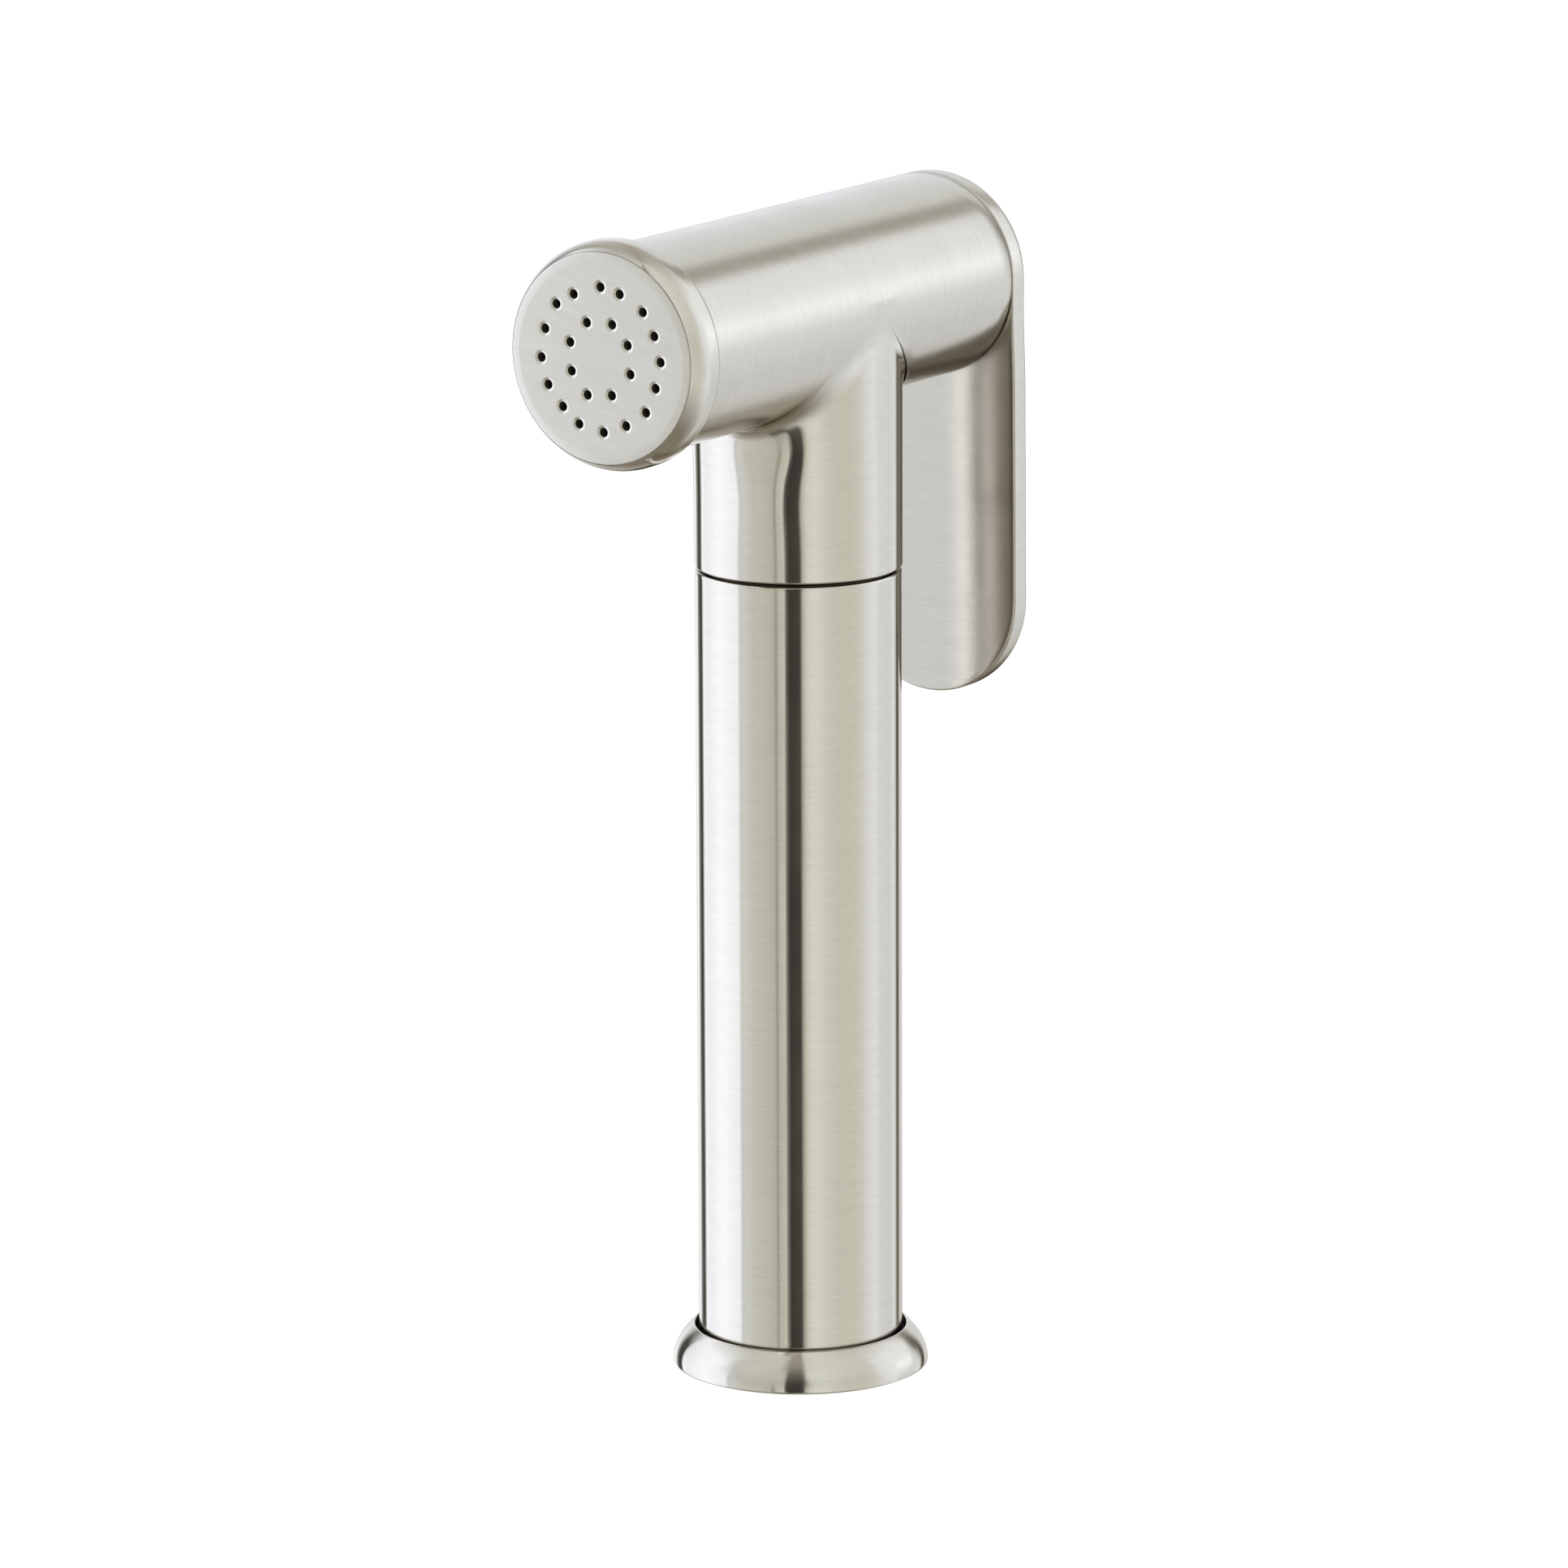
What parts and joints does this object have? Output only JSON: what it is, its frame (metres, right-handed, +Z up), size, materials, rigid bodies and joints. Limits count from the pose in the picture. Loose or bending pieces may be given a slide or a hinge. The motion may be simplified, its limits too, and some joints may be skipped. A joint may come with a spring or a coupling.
{
  "type": "kitchen hand spray",
  "caption": "T-shaped hand spray with a drilled round spray face, a tube handle and a flat squeeze lever, resting in a domed deck flange.",
  "frame": {"origin": "centre of the deck hole on the deck's top surface, under the flange", "axes": "+Z up along the handle, -Y the way the spray face looks, +Y towards the squeeze lever, +X to the right of someone facing the spray face from behind the lever"},
  "size_m": [0.044, 0.098, 0.2255],
  "materials": {
    "nickel": "satin nickel plate brushed around each tube",
    "brass": "plain turned brass",
    "steel": "bright stainless steel",
    "rubber": "matt black rubber",
    "white_nylon": "moulded natural nylon",
    "black_nylon": "moulded black nylon",
    "bronze_seam": "dark bronze sealing ring in the handle groove"
  },
  "bodies": {
    "holder": {"deck_flange": "nickel", "flange_gasket": "rubber", "holder_shank": "brass", "mounting_washer": "rubber", "mounting_plate": "steel", "mounting_nut": "brass"},
    "bush": {"holder_bush": "black_nylon"},
    "wand": {"handle_tube": "nickel", "seam_washer": "bronze_seam", "water_tube": "white_nylon", "water_tube_seal_top": "rubber", "water_tube_seal_low": "rubber", "inlet_fitting": "brass", "inlet_seal": "rubber", "check_valve": "rubber", "inlet_strainer": "steel", "head_body": "nickel", "lever_pin": "steel", "spray_bezel": "nickel", "spray_face": "nickel", "face_gasket": "rubber", "flow_disc": "white_nylon", "valve_seat": "brass", "seat_seal": "rubber", "stem_gland": "brass", "gland_seal": "rubber", "valve_spring": "steel"},
    "lever": {"lever": "nickel"},
    "stem": {"valve_stem": "steel", "valve_washer": "rubber", "washer_retainer": "brass"}
  },
  "joints": [
    {"name": "holder_swivel", "type": "hinge", "parent": "holder", "child": "bush", "pos_m": [0, 0, 0], "axis": [0, 0, 1], "continuous": true},
    {"name": "wand_lift", "type": "slide", "parent": "bush", "child": "wand", "axis": [0, 0, 1], "range_m": [0, 0.05]},
    {"name": "lever_squeeze", "type": "hinge", "parent": "wand", "child": "lever", "pos_m": [0, 0.031, 0.16], "axis": [-1, 0, 0], "range_deg": [0, 4.5], "stiffness_Nm_per_rad": 0.6, "springref_deg": -8.59},
    {"name": "stem_pull", "type": "slide", "parent": "wand", "child": "stem", "axis": [0, 1, 0], "range_m": [0, 0.00064], "deforming": ["valve_spring"]}
  ],
  "couplings": [
    {"joint": "stem_pull", "follows": "lever_squeeze", "m_per_rad": 0.00806}
  ]
}
